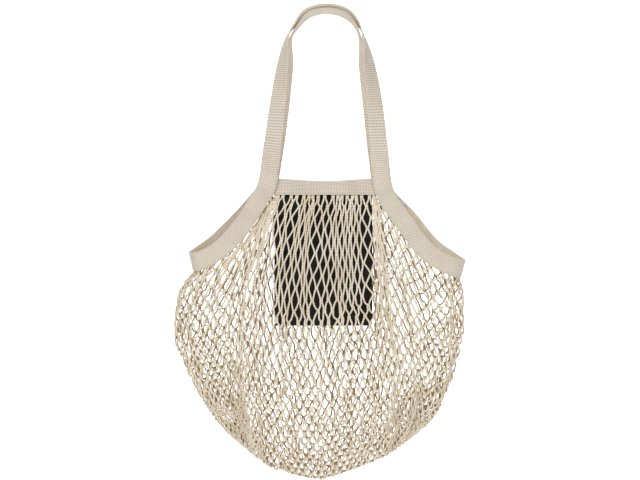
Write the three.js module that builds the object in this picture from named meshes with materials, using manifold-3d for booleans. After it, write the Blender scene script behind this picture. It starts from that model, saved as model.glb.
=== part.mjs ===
// A string shopping bag: a knitted cotton net hung from one closed loop of cotton webbing.
// The loop makes both shoulder handles and binds both side mouths. A short band of webbing
// closes the front and the back of the mouth between the handles, and a flat zipped pouch,
// into which the bag packs away, hangs inside from the front band.
// Millimetres, +Z up, the front faces -Y. The origin is the point under the handles' crown
// where the bag hangs.
import * as THREE from "three";
import { mergeVertices } from "three/addons/utils/BufferGeometryUtils.js";
import Module from "manifold-3d";

const wasm = await Module();
wasm.setup();

// Driving dimensions of the webbing
const tapeWidth = 25;
const tapeThickness = 1.8;
const clearance = 0.35; // between two pieces that lie on each other
const handleDrop = 226; // from the hang point down to the bands' top corners
const handleSpan = 157; // between the straps' middle lines at the bands
const strapGap = 0.6; // between the two straps where they lie on each other at the crown
const strapShift = 6.4; // how far the front strap lies forward of the back one at the crown
const crownLean = 14; // degrees that the straps lean back at the crown
const earSpan = 367; // across the tips of both side loops
const earDrop = 100; // from the bands' middle line down to the side loops
const backLift = 11; // how much higher the back of a side loop hangs than its front
const mouthDepth = 36; // between the straps' middle surfaces at the bands

// Driving dimensions of the bands
const bandWidth = 22.5;
const bandLean = 32; // degrees that a band's middle leans into the bag
const bandBulge = 3; // how far a band's middle bows out

// Driving dimensions of the net
const netWidth = 390;
const netHeight = 381; // from the bands' lower edge to the bottom
const netDepth = 104;
const netThickness = 2.2;
const netColumns = 14; // of the coarse net that stands for the knitted one, in each face
const netRows = 8;
const bandColumns = 6; // of the columns of a face, those that hang from its band
const strutWidth = 7;
const seamGap = 0.8; // between the net's front and back, along the sides and the bottom
const hemTuck = 8; // how far the net's hem reaches up behind the tape
const hemShow = 2; // how far the hem shows below the tape

// Driving dimensions of the pouch and its zip
const pouchWidth = 132;
const pouchHeight = 184;
const pouchThickness = 4.6;
const pouchWall = 1;
const pouchSeam = 4; // width of the flat seam round the pouch
const pouchSlope = 4; // width of the slope from the seam up to the full thickness
const pouchCorner = 3;
const pouchTuck = 8; // how far the pouch reaches up behind the band
const pouchShift = -5; // how far right of the hang point the pouch's middle is, left if negative
const zipDrop = 26; // from the pouch's top edge to the zip's middle line
const zipTapeLength = 110;
const zipTapeWidth = 20;
const zipTapeThickness = 0.8;
const slitLength = 100;
const coilWidth = 5;
const coilHeight = 1.4;
const sliderLength = 10;
const sliderWall = 1; // of the slider's plate
const flangeWall = 0.8;
const bridgeLength = 7;
const bridgeWidth = 2;
const bridgeWall = 1;
const pinRadius = 0.7;
const pinPlay = 0.3;
const pullerLength = 17; // from the pin's axis
const pullerWidth = 7.8;
const pullerThickness = 1.2;
const pullerSideBar = 1.3;
const pullerDroop = 15; // degrees that the puller droops below the zip's line

const degree = Math.PI / 180;
const left = -1;
const right = 1;
const front = -1;
const back = 1;

function table(columns, lines) {
  return lines.map((line) => Object.fromEntries(columns.map((name, i) => [name, line[i]])));
}

// Where the carrying tape runs, from the middle of a handle to the tip of a side loop.
// x is a share of half the handle span in handle rows and of half the ear span in side rows.
// Drop is a share of the handle's height, or of the ear drop. Strap and mouth are the shares of
// the tape's width and of half the mouth's depth that add up to the distance from the middle
// plane. Nest is how far the back strap lies inside the front one, as a share of their nesting
// at the crown, and lift is a share of the back lift.
const tapePath = table(
  ["place", "zone", "leftX", "leftDrop", "rightX", "rightDrop", "strap", "mouth", "nest", "lift"],
  [
    ["crown", "handle", 0, 0, 0, 0, 0, 0, 1, 0],
    ["arch", "handle", 0.35, 0.027, 0.34, 0.027, 0.01, 0, 1, 0],
    ["shoulder", "handle", 0.54, 0.093, 0.53, 0.088, 0.04, 0, 1.05, 0],
    ["bend", "handle", 0.68, 0.164, 0.63, 0.164, 0.09, 0, 1.2, 0],
    ["upper", "handle", 0.755, 0.312, 0.722, 0.312, 0.24, 0.05, 1.5, 0],
    ["middle", "handle", 0.842, 0.53, 0.816, 0.53, 0.22, 0.25, 1.2, 0],
    ["lower", "handle", 0.945, 0.803, 0.893, 0.803, 0, 0.88, 0.6, 0],
    ["root", "handle", 1.04, 1, 0.962, 1, 0, 1, 0, 0],
    ["collar", "side", 0.496, 0.162, 0.441, 0.142, 0, 1.03, 0, 0.2],
    ["slope", "side", 0.626, 0.532, 0.563, 0.473, 0, 1.2, 0, 0.85],
    ["side", "side", 0.795, 0.851, 0.737, 0.877, 0, 1.2, 0, 1],
    ["ear", "side", 0.955, 1.0, 0.925, 1.07, 0, 0.85, 0, 0.6],
    ["tip", "side", 1, 0.98, 1, 1.09, 0, 0, 0, 0],
  ],
);

// Which way the tape's outer face looks at each of those places: towards the bag's own side
// for the front and the back strap, outwards from the middle, and up.
const crownTilt = Math.tan(crownLean * degree);
const tapeFacing = table(
  ["front", "back", "out", "up"],
  [
    [-crownTilt, crownTilt, 0, 1],
    [-crownTilt, crownTilt, 0.35, 0.9],
    [-0.1, 0.1, 0.8, 0.6],
    [0.18, 0.1, 1, 0.15],
    [0.75, 0.7, 1, 0],
    [1, 1, 0.65, 0],
    [1, 1, 0.25, 0],
    [1, 1, 0.1, 0],
    [1, 1, 0.1, 0],
    [1, 1, 0.15, -0.05],
    [1, 1, 0.4, -0.1],
    [0.8, 0.8, 0.9, -0.2],
    [0, 0, 1, -0.25],
  ],
);

// The net's outline below the side loops, from the shoulder under a loop to the bottom.
// x is a share of half the net's width and drop a share of its height.
const netOutline = table(
  ["part", "leftX", "rightX", "drop"],
  [
    ["side", -0.995, 0.933, 0.315],
    ["side", -1.052, 0.949, 0.449],
    ["side", -0.985, 0.897, 0.6],
    ["side", -0.849, 0.782, 0.731],
    ["corner", -0.68, 0.618, 0.841],
    ["bottom", -0.497, 0.405, 0.919],
    ["bottom", -0.312, 0.165, 0.969],
    ["lowest", -0.07, -0.07, 1],
  ],
);

function mix(a, b, share) {
  return a + (b - a) * share;
}

function smooth(from, to, value) {
  const share = THREE.MathUtils.clamp((value - from) / (to - from), 0, 1);
  return share * share * (3 - 2 * share);
}

// The carrying tape's stations, all the way round
const nestStep =
  (tapeThickness + strapGap) / Math.cos(crownLean * degree) + strapShift * crownTilt;
const crownHeight = tapeThickness / 2 / Math.cos(crownLean * degree) + nestStep;
const rootHeight = -(handleDrop + tapeWidth / 2);

function tapeStation(index, side) {
  const row = tapePath[index];
  const isSide = row.zone === "side";
  const drop = side === left ? row.leftDrop : row.rightDrop;
  const x = side * (side === left ? row.leftX : row.rightX);
  return {
    x: (x * (isSide ? earSpan : handleSpan)) / 2,
    z: isSide ? rootHeight - drop * earDrop : mix(crownHeight, rootHeight, drop),
    depth:
      row.strap * tapeWidth +
      (row.mouth * mouthDepth) / 2 +
      (isSide ? 0 : ((1 - row.mouth) * strapShift) / 2),
    nest: row.nest * nestStep,
    lift: row.lift * backLift,
    side,
    facing: tapeFacing[index],
  };
}

const leftToRight = [
  ...tapePath.map((row, index) => tapeStation(index, left)).reverse(),
  ...tapePath.map((row, index) => tapeStation(index, right)).slice(1),
];

// The direction in the front view that points out of the loop at a station
function outwards(index) {
  const before = leftToRight[Math.max(index - 1, 0)];
  const after = leftToRight[Math.min(index + 1, leftToRight.length - 1)];
  return new THREE.Vector3(before.z - after.z, 0, after.x - before.x).normalize();
}

const frontStations = leftToRight.map(({ x, z, depth, side, facing }) => ({
  point: new THREE.Vector3(x, front * depth, z),
  facing: new THREE.Vector3(side * facing.out, front * facing.front, facing.up),
}));
const backStations = leftToRight
  .map(({ x, z, depth, nest, lift, side, facing }, index) => ({
    point: new THREE.Vector3(x, back * depth, z).addScaledVector(outwards(index), lift - nest),
    facing: new THREE.Vector3(side * facing.out, back * facing.back, facing.up),
  }))
  .slice(1, -1)
  .reverse();
const loopStations = [...frontStations, ...backStations];
const loopLine = new THREE.CatmullRomCurve3(
  loopStations.map((station) => station.point),
  true,
);
const loopFacing = new THREE.CatmullRomCurve3(
  loopStations.map((station) => station.facing),
  true,
  "catmullrom",
);

// The tape's frame at a station, where station may lie between two
function tapeFrame(station) {
  const share = THREE.MathUtils.euclideanModulo(station / loopStations.length, 1);
  const point = loopLine.getPoint(share);
  const along = loopLine.getTangent(share);
  const out = loopFacing.getPoint(share);
  out.addScaledVector(along, -out.dot(along)).normalize();
  const across = new THREE.Vector3().crossVectors(along, out); // towards the net
  return { point, along, across, out };
}

function offset({ point, across, out }, acrossBy, outBy) {
  return point.clone().addScaledVector(across, acrossBy).addScaledVector(out, outBy);
}

// A solid through rings of points, either closed on itself or capped at both ends
function ringSolid(rings, closed) {
  const size = rings[0].length;
  const positions = rings.flat().flatMap((p) => p.toArray());
  const index = [];
  const last = closed ? rings.length : rings.length - 1;
  for (let ring = 0; ring < last; ring += 1) {
    const here = ring * size;
    const there = ((ring + 1) % rings.length) * size;
    for (let corner = 0; corner < size; corner += 1) {
      const next = (corner + 1) % size;
      index.push(here + corner, here + next, there + next);
      index.push(here + corner, there + next, there + corner);
    }
  }
  if (!closed) {
    const end = (rings.length - 1) * size;
    for (let corner = 1; corner < size - 1; corner += 1) {
      index.push(0, corner + 1, corner);
      index.push(end, end + corner, end + corner + 1);
    }
  }
  return indexedGeometry(positions, index);
}

function indexedGeometry(positions, index) {
  const geometry = new THREE.BufferGeometry();
  geometry.setAttribute("position", new THREE.Float32BufferAttribute(positions, 3));
  geometry.setIndex(index);
  return geometry;
}

function tapeRing(frame, width, thickness) {
  return [
    offset(frame, width / 2, thickness / 2),
    offset(frame, width / 2, -thickness / 2),
    offset(frame, -width / 2, -thickness / 2),
    offset(frame, -width / 2, thickness / 2),
  ];
}

function webbingLoop() {
  const stepsPerStation = 6;
  const rings = [];
  for (let step = 0; step < loopStations.length * stepsPerStation; step += 1) {
    rings.push(tapeRing(tapeFrame(step / stepsPerStation), tapeWidth, tapeThickness));
  }
  return ringSolid(rings, true);
}

// The bands. at runs from -1 at the left handle to 1 at the right one.
const bandTuck = tapeThickness + 3.3 * clearance;
const bandBottom = -(handleDrop + bandWidth);
const rootIndex = tapePath.findIndex((row) => row.place === "root");
const tipIndex = tapePath.length - 1;
const leftRoot = leftToRight[tipIndex - rootIndex];
const rightRoot = leftToRight[tipIndex + rootIndex];

function bandFrame(at, face) {
  const middle = Math.cos((at * Math.PI) / 2);
  const lean = bandLean * degree * middle;
  const edge = new THREE.Vector3(
    mix(leftRoot.x, rightRoot.x, (at + 1) / 2),
    face * (mouthDepth / 2 - bandTuck + bandBulge * middle),
    bandBottom,
  );
  const down = new THREE.Vector3(0, face * Math.sin(lean), -Math.cos(lean));
  const along = new THREE.Vector3(-face, 0, 0);
  const out = new THREE.Vector3().crossVectors(down, along);
  return { point: edge.addScaledVector(down, -bandWidth / 2), along, across: down, out };
}

function band(face) {
  const steps = 24;
  const rings = [];
  for (let step = 0; step <= steps; step += 1) {
    const at = -face * mix(-1, 1, step / steps);
    rings.push(tapeRing(bandFrame(at, face), bandWidth, tapeThickness));
  }
  return ringSolid(rings, false);
}

// The net's edge behind the tape. s runs from -1 at the left tip to 1 at the right tip.
const bandShare = bandColumns / netColumns;
const bandReach = 0.85; // of the band's length, out to the straps' inner edges
const hemSlack = 0.6; // more room behind the tape where it twists
const hemDepth = tapeThickness / 2 + clearance + hemSlack + netThickness / 2;

function hemFrame(s, face) {
  if (Math.abs(s) < bandShare + 0.001) {
    const frame = bandFrame((bandReach * s) / bandShare, face);
    return { ...frame, edge: bandWidth / 2, behind: hemDepth };
  }
  const side = s < 0 ? left : right;
  const down = (Math.abs(s) - bandShare) / (1 - bandShare);
  const fromCrown = mix(rootIndex + 0.25, tipIndex, down);
  const station = face * -1 * (tipIndex + side * fromCrown);
  const underBand = (1 - smooth(0.06, 0.4, down)) * bandTuck;
  return { ...tapeFrame(station), edge: tapeWidth / 2, behind: hemDepth + underBand };
}

function hemPoint(s, face, acrossBy) {
  const frame = hemFrame(s, face);
  return offset(frame, frame.edge + acrossBy, -frame.behind);
}

// The outline's curves, in the middle plane
const outlineSide = (key, part) =>
  netOutline
    .filter((row) => part.includes(row.part))
    .map(
      (row) =>
        new THREE.Vector3((row[key] * netWidth) / 2, 0, bandBottom - row.drop * netHeight),
    );
const sideCurve = (key, s) =>
  new THREE.CatmullRomCurve3([
    hemPoint(s, front, hemShow),
    ...outlineSide(key, ["side", "corner"]),
  ]);
const leftCurve = sideCurve("leftX", -1);
const rightCurve = sideCurve("rightX", 1);
const bottomCurve = new THREE.CatmullRomCurve3([
  ...outlineSide("leftX", ["corner", "bottom", "lowest"]),
  ...outlineSide("rightX", ["corner", "bottom"]).reverse(),
]);

// A point of the net's middle surface. s runs across and v down from the hem to the bottom.
const columnCrowding = 0.45; // 0 spaces the columns evenly in the front view, 1 by angle
const rowCrowding = 0.5;

function netPoint(s, v, face) {
  const byAngle = mix(s, Math.sin((s * Math.PI) / 2), columnCrowding);
  const t = (mix(s, byAngle, smooth(0, 0.35, v)) + 1) / 2;
  const d = mix(v, Math.sin((v * Math.PI) / 2), rowCrowding);
  const top = hemPoint(s, face, hemShow);
  const [topLeft, topRight] = [leftCurve.getPointAt(0), rightCurve.getPointAt(0)];
  const [lowLeft, lowRight] = [bottomCurve.getPointAt(0), bottomCurve.getPointAt(1)];
  const point = top
    .clone()
    .multiplyScalar(1 - d)
    .addScaledVector(bottomCurve.getPointAt(t), d)
    .addScaledVector(leftCurve.getPointAt(d), 1 - t)
    .addScaledVector(rightCurve.getPointAt(d), t)
    .addScaledVector(topLeft, -(1 - t) * (1 - d))
    .addScaledVector(topRight, -t * (1 - d))
    .addScaledVector(lowLeft, -(1 - t) * d)
    .addScaledVector(lowRight, -t * d);
  const round = Math.sqrt(Math.max(0, 4 * t * (1 - t)));
  const belly = smooth(0, 0.62, d) * Math.sqrt(Math.max(0, 1 - d * d));
  const bellyPeak = 0.78;
  point.y = top.y * (1 - d) ** 1.5 + (face * netDepth * round * belly) / 2 / bellyPeak;
  return point;
}

function netNormal(s, v, face) {
  const acrossStep = 0.04;
  const downStep = 0.01;
  const across = netPoint(Math.min(s + acrossStep, 1), v, face);
  across.sub(netPoint(Math.max(s - acrossStep, -1), v, face));
  const down = netPoint(s, Math.min(v + downStep, 1), face);
  down.sub(netPoint(s, Math.max(v - downStep, 0), face));
  return new THREE.Vector3().crossVectors(across, down).multiplyScalar(face).normalize();
}

// The coarse net. Columns run round the bag and rows down it. Knots sit where the two numbers
// add up to an even one, and a gap is centred wherever they add up to an odd one. The front and
// the back meet along the sides and the bottom, where each is cut a little short of the other.
function netPlace(column, face) {
  return face === front ? (2 * column) / netColumns - 1 : 3 - (2 * column) / netColumns;
}

function netVertex(column, row, face) {
  const s = netPlace(column, face);
  const v = row / netRows;
  const point = netPoint(s, v, face);
  const normal = row === 0 ? hemFrame(s, face).out : netNormal(s, v, face);
  if (column % netColumns === 0 || row === netRows) {
    point.y += (face * seamGap) / 2;
    if (row > 0) {
      normal.add(netNormal(s, v, -face)).normalize();
    }
  }
  return { point, normal };
}

// The hem's upper edge, behind the tape or the band
function hemVertex(column, face) {
  const s = netPlace(column, face);
  const point = hemPoint(s, face, -hemTuck);
  if (column % netColumns === 0) {
    point.y += (face * seamGap) / 2;
  }
  return { point, normal: hemFrame(s, face).out };
}

function netSolid(face) {
  const firstColumn = face === front ? 0 : netColumns;
  const lastColumn = firstColumn + netColumns;
  const positions = [];
  const index = [];
  const shared = new Map();

  // Adds a point on the outer and one on the inner surface, and returns the outer one's number
  function addPair({ point, normal }) {
    const number = positions.length / 3;
    for (const side of [1, -1]) {
      const onSurface = point.clone().addScaledVector(normal, (side * netThickness) / 2);
      positions.push(...onSurface.toArray());
    }
    return number;
  }

  // The pair at a place on the struts' middle lines, which the gaps beside it share
  function sharedPair(column, row) {
    const key = `${column},${row}`;
    if (!shared.has(key)) {
      shared.set(key, addPair(netVertex(column, row, face)));
    }
    return shared.get(key);
  }

  function quad(a, b, c, d) {
    index.push(a, b, c, a, c, d);
  }

  // A strip of net between two rows of pairs. Its free edge is on the left, seen from outside.
  function strip(rim, free, closed) {
    const last = rim.length - 1;
    for (let i = 0; i < (closed ? rim.length : last); i += 1) {
      const next = (i + 1) % rim.length;
      quad(rim[i], rim[next], free[next], free[i]);
      quad(rim[i] + 1, free[i] + 1, free[next] + 1, rim[next] + 1);
      quad(free[i], free[next], free[next] + 1, free[i] + 1);
    }
    if (!closed) {
      quad(rim[0], free[0], free[0] + 1, rim[0] + 1);
      quad(rim[last], rim[last] + 1, free[last] + 1, free[last]);
    }
  }

  // Frames one gap with half of each strut round it. The outline's places are columns and rows,
  // counter-clockwise from outside. It is open where the gap crosses to the other face.
  function frameGap(outline, middleColumn, middleRow, closed) {
    const rim = outline.map(([column, row]) => sharedPair(column, row));
    const middle = netVertex(middleColumn, middleRow, face).point;
    const free = outline.map(([column, row]) => {
      const reach = netVertex(column, row, face).point.distanceTo(middle);
      const share = Math.min(0.6, strutWidth / 2 / (0.85 * reach));
      const freeColumn = mix(column, middleColumn, share);
      return addPair(netVertex(freeColumn, mix(row, middleRow, share), face));
    });
    strip(rim, free, closed);
  }

  const diamond = [
    [1, 0],
    [0.5, -0.5],
    [0, -1],
    [-0.5, -0.5],
    [-1, 0],
    [-0.5, 0.5],
    [0, 1],
    [0.5, 0.5],
  ];
  const place = (column, row, steps) => steps.map(([c, r]) => [column + c, row + r]);
  const around = (first, count) =>
    Array.from({ length: count }, (_, i) => diamond[(first + i) % diamond.length]);

  for (let row = 1; row < netRows; row += 1) {
    for (let column = firstColumn; column <= lastColumn; column += 1) {
      if ((column + row) % 2 === 1) {
        const half = { [firstColumn]: around(6, 5), [lastColumn]: around(2, 5) }[column];
        frameGap(place(column, row, half ?? diamond), column, row, half === undefined);
      }
    }
  }
  const topGapMiddle = 0.36; // of a row
  const underHem = [1, 0.75, 0.5, 0.25, 0, -0.25, -0.5, -0.75].map((by) => [by, 0]);
  for (let column = firstColumn + 1; column < lastColumn; column += 2) {
    frameGap(place(column, 0, [...underHem, ...around(4, 4)]), column, topGapMiddle, true);
    frameGap(place(column, netRows, around(0, 5)), column, netRows, false);
  }

  const hemSteps = 4 * netColumns;
  const hemColumns = Array.from({ length: hemSteps + 1 }, (_, i) => firstColumn + i / 4);
  strip(
    hemColumns.map((column) => sharedPair(column, 0)),
    hemColumns.map((column) => addPair(hemVertex(column, face))),
    false,
  );
  return indexedGeometry(positions, index);
}

// Joining and cutting
function toManifold(geometry) {
  const merged = mergeVertices(geometry.clone().deleteAttribute("uv").deleteAttribute("normal"));
  const mesh = new wasm.Mesh({
    numProp: 3,
    vertProperties: merged.getAttribute("position").array,
    triVerts: Uint32Array.from(merged.index.array),
  });
  return new wasm.Manifold(mesh);
}

function toGeometry(manifold) {
  const mesh = manifold.getMesh();
  return indexedGeometry(Array.from(mesh.vertProperties), Array.from(mesh.triVerts));
}

// A box with its middle at x, y, z
function block(xSize, ySize, zSize, x, y, z) {
  return toManifold(new THREE.BoxGeometry(xSize, ySize, zSize).translate(x, y, z));
}

// The pouch, seen along Y: rings of a rounded rectangle, each inset from the pouch's outline
function pouchRing(inset, y) {
  const radius = Math.max(pouchCorner - inset, 0.5);
  const halfWidth = pouchWidth / 2 - inset - radius;
  const halfHeight = pouchHeight / 2 - inset - radius;
  const cornerSteps = 4;
  const ring = [];
  for (let quarter = 0; quarter < 4; quarter += 1) {
    for (let step = 0; step <= cornerSteps; step += 1) {
      const angle = ((quarter + step / cornerSteps) * Math.PI) / 2;
      const xWay = quarter === 0 || quarter === 3 ? 1 : -1;
      const zWay = quarter < 2 ? 1 : -1;
      ring.push(
        new THREE.Vector3(
          pouchShift + xWay * halfWidth + radius * Math.cos(angle),
          pouchMiddle + y,
          pouchTop - pouchHeight / 2 + zWay * halfHeight + radius * Math.sin(angle),
        ),
      );
    }
  }
  return ring.reverse();
}

const hemBack = hemDepth + netThickness / 2 + clearance;
const hemBacks = [-1, -0.75, -0.5, -0.25, 0, 0.25, 0.5, 0.75, 1].map(
  (share) =>
    offset(
      bandFrame((share * pouchWidth) / (rightRoot.x - leftRoot.x), front),
      bandWidth / 2 - pouchTuck,
      -hemBack,
    ).y,
);
const pouchTop = bandBottom + pouchTuck;
const pouchMiddle = Math.max(...hemBacks) + pouchWall;
const pouchBack = pouchMiddle + pouchThickness / 2;
const zipHeight = pouchTop - zipDrop;
const zipTapeFace = pouchBack - pouchWall - clearance;
const coilTop = zipTapeFace + coilHeight;
const sliderWidth = coilWidth + 2 * (clearance + flangeWall);
const slitWidth = sliderWidth + 2 * clearance;
const plateTop = coilTop + clearance + sliderWall;
const pinHole = 2 * (pinRadius + pinPlay);

function pouch() {
  const outside = [
    pouchRing(pouchSeam + pouchSlope, -pouchThickness / 2),
    pouchRing(pouchSeam, -pouchWall),
    pouchRing(0, -pouchWall),
    pouchRing(0, pouchWall),
    pouchRing(pouchSeam, pouchWall),
    pouchRing(pouchSeam + pouchSlope, pouchThickness / 2),
  ];
  const hollow = pouchThickness / 2 - pouchWall;
  const inside = [
    pouchRing(pouchSeam + pouchSlope, -hollow),
    pouchRing(pouchSeam + 0.5, 0),
    pouchRing(pouchSeam + pouchSlope, hollow),
  ];
  const slit = block(slitLength, 3 * pouchWall, slitWidth, pouchShift, pouchBack, zipHeight);
  const envelope = toManifold(ringSolid(outside, false)).subtract(
    toManifold(ringSolid(inside, false)),
  );
  return toGeometry(envelope.subtract(slit));
}

function zipTape() {
  const tapeMiddle = zipTapeFace - zipTapeThickness / 2;
  const tape = block(
    zipTapeLength,
    zipTapeThickness,
    zipTapeWidth,
    pouchShift,
    tapeMiddle,
    zipHeight,
  );
  const overlap = 0.2;
  const coil = block(
    slitLength - 2,
    coilHeight + overlap,
    coilWidth,
    pouchShift,
    zipTapeFace + (coilHeight - overlap) / 2,
    zipHeight,
  );
  return toGeometry(tape.add(coil));
}

// The slider stands near the zip's closed end, which is the left one from the front
const sliderX = pouchShift - slitLength / 2 + sliderLength / 2 + 2;

function zipSlider() {
  const flangeBottom = zipTapeFace + clearance;
  const body = block(
    sliderLength,
    plateTop - flangeBottom,
    sliderWidth,
    sliderX,
    (plateTop + flangeBottom) / 2,
    zipHeight,
  );
  const channel = block(
    2 * sliderLength,
    2 * (coilTop + clearance - flangeBottom),
    coilWidth + 2 * clearance,
    sliderX,
    flangeBottom,
    zipHeight,
  );
  const bridgeHeight = pinHole + bridgeWall;
  const bridge = block(
    bridgeLength,
    bridgeHeight + bridgeWall,
    bridgeWidth,
    sliderX,
    plateTop + (bridgeHeight - bridgeWall) / 2,
    zipHeight,
  );
  const hole = block(
    bridgeLength - 2 * bridgeWall,
    pinHole,
    2 * bridgeWidth,
    sliderX,
    plateTop + pinHole / 2,
    zipHeight,
  );
  return toGeometry(body.subtract(channel).add(bridge).subtract(hole));
}

// The puller, drawn along +X from its pin at the origin. It is set in place by its mesh.
function zipPuller() {
  const windowEnd = Math.hypot(bridgeLength / 2, pinHole / 2 + bridgeWall) + clearance;
  const windowWidth = pullerWidth - 2 * pullerSideBar;
  const plate = block(pullerLength, pullerThickness, pullerWidth, pullerLength / 2, 0, 0);
  const gap = block(windowEnd, 2 * pullerThickness, windowWidth, windowEnd / 2, 0, 0);
  const pinSides = 12;
  const pin = new THREE.CylinderGeometry(pinRadius, pinRadius, pullerWidth, pinSides);
  return toGeometry(plate.subtract(gap).add(toManifold(pin.rotateX(Math.PI / 2))));
}

const webbing = () =>
  new THREE.MeshStandardMaterial({ color: 0xdacfc0, roughness: 0.9, metalness: 0 });
const yarn = () =>
  new THREE.MeshStandardMaterial({ color: 0xe1d7c8, roughness: 0.95, metalness: 0 });
const blackCloth = () =>
  new THREE.MeshStandardMaterial({ color: 0x151314, roughness: 0.8, metalness: 0 });
const blackCoil = () =>
  new THREE.MeshStandardMaterial({ color: 0x111112, roughness: 0.5, metalness: 0 });
const blackMetal = () =>
  new THREE.MeshStandardMaterial({ color: 0x1c1c1e, roughness: 0.4, metalness: 0.6 });

const bag = new THREE.Group();
bag.name = "string_shopping_bag";

function addPiece(name, geometry, material) {
  const mesh = new THREE.Mesh(geometry, material);
  mesh.name = name;
  bag.add(mesh);
  return mesh;
}

addPiece("webbing_loop", webbingLoop(), webbing());
addPiece("front_band", band(front), webbing());
addPiece("back_band", band(back), webbing());
addPiece("net_front", netSolid(front), yarn());
addPiece("net_back", netSolid(back), yarn());
addPiece("pouch", pouch(), blackCloth());
addPiece("zip_tape", zipTape(), blackCoil());
addPiece("zip_slider", zipSlider(), blackMetal());
const puller = addPiece("zip_puller", zipPuller(), blackMetal());
puller.position.set(sliderX, plateTop + pinHole / 2, zipHeight);
puller.rotation.y = pullerDroop * degree;

export default bag;
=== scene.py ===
# %% [markdown]
# # A string shopping bag
#
# The bag is a knitted cotton net that hangs from one closed loop of cotton webbing. The loop
# makes both shoulder handles and binds both side mouths. Two short bands close the mouth at
# the front and the back, and a black zipped pouch hangs inside from the front band.
#
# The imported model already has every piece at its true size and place. This lesson keeps it as
# a fixed frame and dresses it: straps with a woven face, a net of single yarns, a soft pouch
# with a zip, and the stitches that hold them together.

import math

import bmesh
import bpy
import numpy as np
from mathutils import Matrix, Vector


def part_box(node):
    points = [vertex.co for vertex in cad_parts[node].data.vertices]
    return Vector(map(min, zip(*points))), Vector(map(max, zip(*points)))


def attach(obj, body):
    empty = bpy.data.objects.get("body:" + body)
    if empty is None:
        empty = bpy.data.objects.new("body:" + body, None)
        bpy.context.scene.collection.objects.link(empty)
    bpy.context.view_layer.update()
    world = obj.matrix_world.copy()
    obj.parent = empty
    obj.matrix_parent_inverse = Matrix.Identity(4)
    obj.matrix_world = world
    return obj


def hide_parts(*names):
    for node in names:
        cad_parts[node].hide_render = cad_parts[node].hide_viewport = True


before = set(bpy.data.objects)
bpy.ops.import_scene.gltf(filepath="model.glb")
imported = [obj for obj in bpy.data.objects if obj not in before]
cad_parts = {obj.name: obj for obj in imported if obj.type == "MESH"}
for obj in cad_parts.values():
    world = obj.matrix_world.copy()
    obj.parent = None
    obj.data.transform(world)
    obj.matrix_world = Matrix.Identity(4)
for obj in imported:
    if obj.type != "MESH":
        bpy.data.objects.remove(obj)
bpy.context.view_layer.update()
mm = 0.001
print("pieces of the frame:", ", ".join(sorted(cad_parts)))

# %% [markdown]
# ## The camera and the studio
#
# The photograph looks straight at the front of the hanging bag, without visible perspective.
# A long lens from 2.6 m does the same. One pixel of a 640 by 480 picture then covers 1.35 mm
# at the bag, so the camera's width of view is 640 times that.

# %% Camera
pixel = 1.35 * mm
camera_distance = 2.6
picture_width = 640 * pixel

camera_data = bpy.data.cameras.new("photo_camera")
camera_data.lens = camera_data.sensor_width * camera_distance / picture_width
camera = bpy.data.objects.new("photo_camera", camera_data)
camera.location = (-7 * pixel, -camera_distance, -229 * pixel)
camera.rotation_euler = (math.radians(90), 0, 0)
bpy.context.scene.collection.objects.link(camera)
bpy.context.scene.camera = camera
print("lens:", round(camera_data.lens, 1), "mm")

# %% [markdown]
# A product picture is taken before a sheet of white paper that curves up from the floor into
# a wall, so that no corner shows. The sheet is an L of two faces whose fold is bevelled into
# a wide curve. It is far enough behind for a camera that looks from the back.

# %% Paper floor
floor_height = -0.72


def round_edges(shape, edges, offset, segments, clamp=False):
    """Bevels edges of a bmesh. With clamp, the new faces stop before they meet."""
    bmesh.ops.bevel(
        shape,
        geom=edges,
        offset=offset,
        segments=segments,
        profile=0.5,
        affect="EDGES",
        clamp_overlap=clamp,
        material=-1,
    )


def paper_backdrop(width=9, front=-4.5, back=4.2, top=4):
    paper = bmesh.new()
    profile = [(front, floor_height), (back, floor_height), (back, top)]
    corners = [paper.verts.new((-width / 2, y, z)) for y, z in profile]
    edges = [paper.edges.new(pair) for pair in zip(corners, corners[1:])]
    grown = bmesh.ops.extrude_edge_only(paper, edges=edges)["geom"]
    moved = [v for v in grown if isinstance(v, bmesh.types.BMVert)]
    bmesh.ops.translate(paper, verts=moved, vec=(width, 0, 0))
    fold = [e for e in paper.edges if len(e.link_faces) == 2]
    round_edges(paper, fold, offset=1.2, segments=24)
    bmesh.ops.recalc_face_normals(paper, faces=paper.faces)
    return paper


def as_object(name, shape):
    """Turns a bmesh into an object at the origin, and frees the bmesh."""
    mesh = bpy.data.meshes.new(name)
    shape.to_mesh(mesh)
    shape.free()
    mesh.shade_smooth()
    piece = bpy.data.objects.new(name, mesh)
    bpy.context.scene.collection.objects.link(piece)
    return piece


paper = as_object("paper_backdrop", paper_backdrop())
print("paper faces:", len(paper.data.polygons))

# %% [markdown]
# The light is soft and comes from all round, a little stronger from the upper left. A pale
# world gives the even part. Two large lamps stand before the bag, and a third lights the paper.

# %% Light
world = bpy.data.worlds.new("pale_room")
world.use_nodes = True
room = world.node_tree.nodes["Background"].inputs
room["Color"].default_value = (1, 1, 1, 1)
room["Strength"].default_value = 0.28
bpy.context.scene.world = world
bpy.context.scene.view_settings.view_transform = "Standard"


def soft_lamp(name, place, target, size, watts):
    lamp_data = bpy.data.lights.new(name, "AREA")
    lamp_data.shape = "DISK"
    lamp_data.size = size
    lamp_data.energy = watts
    lamp = bpy.data.objects.new(name, lamp_data)
    lamp.location = place
    direction = Vector(target) - Vector(place)
    lamp.rotation_euler = direction.to_track_quat("-Z", "Y").to_euler()
    bpy.context.scene.collection.objects.link(lamp)
    return lamp


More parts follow.
